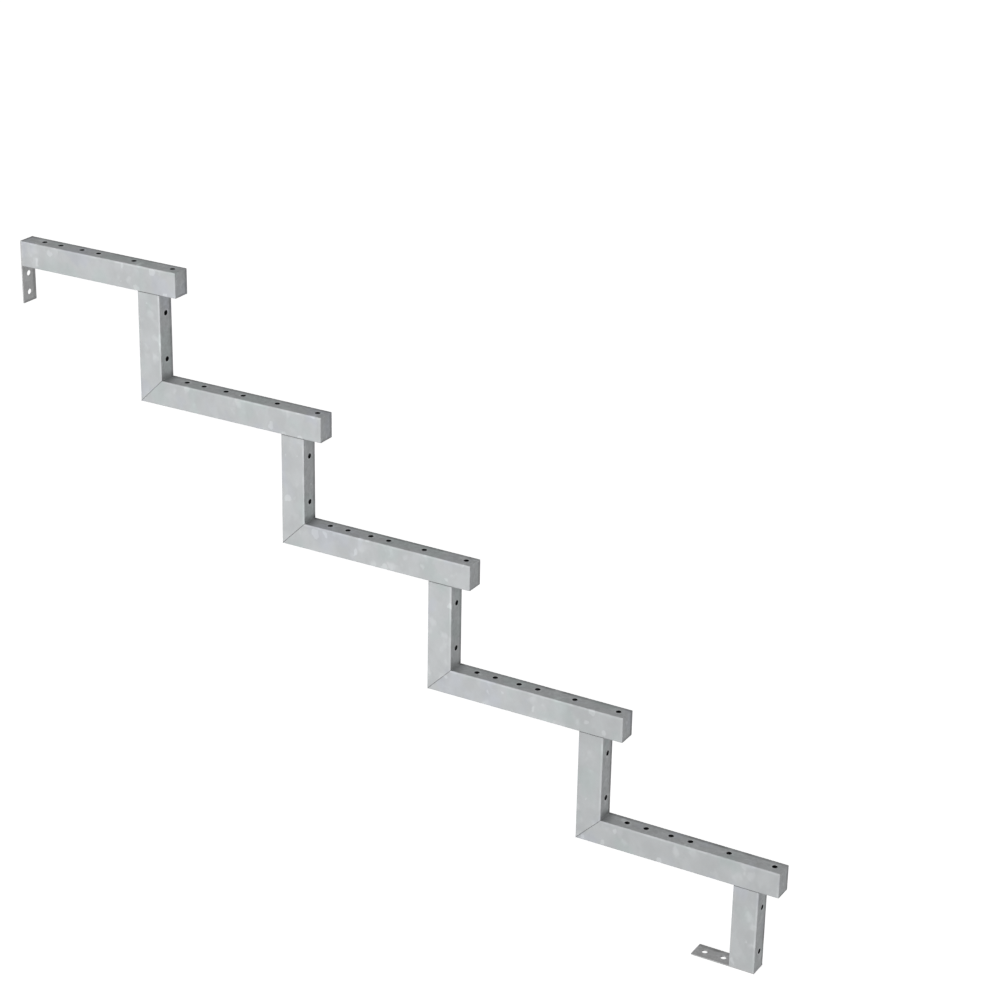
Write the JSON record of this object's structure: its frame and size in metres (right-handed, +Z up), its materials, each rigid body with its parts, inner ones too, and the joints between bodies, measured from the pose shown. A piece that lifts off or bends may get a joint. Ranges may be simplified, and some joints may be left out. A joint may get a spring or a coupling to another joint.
{
  "type": "stair stringer",
  "caption": "Stepped stair stringer welded from galvanised rectangular tube, with drilled treads and risers, a wall plate at the top and a foot plate on the ground.",
  "frame": {"origin": "on the ground, midway between the two holes of the foot plate", "axes": "+Z up, +X from the wall down the stair, Y across the tubes"},
  "size_m": [1.31, 0.03, 0.875],
  "materials": {
    "galvanised_steel": "hot-dip galvanised: matt light grey zinc with soft pale patches"
  },
  "bodies": {
    "root": {"foot_plate": "galvanised_steel", "nose_cap_1": "galvanised_steel", "nose_cap_2": "galvanised_steel", "nose_cap_3": "galvanised_steel", "nose_cap_4": "galvanised_steel", "nose_cap_5": "galvanised_steel", "riser_tube_1": "galvanised_steel", "riser_tube_2": "galvanised_steel", "riser_tube_3": "galvanised_steel", "riser_tube_4": "galvanised_steel", "riser_tube_5": "galvanised_steel", "tread_tube_1": "galvanised_steel", "tread_tube_2": "galvanised_steel", "tread_tube_3": "galvanised_steel", "tread_tube_4": "galvanised_steel", "tread_tube_5": "galvanised_steel", "wall_plate": "galvanised_steel"}
  },
  "joints": []
}
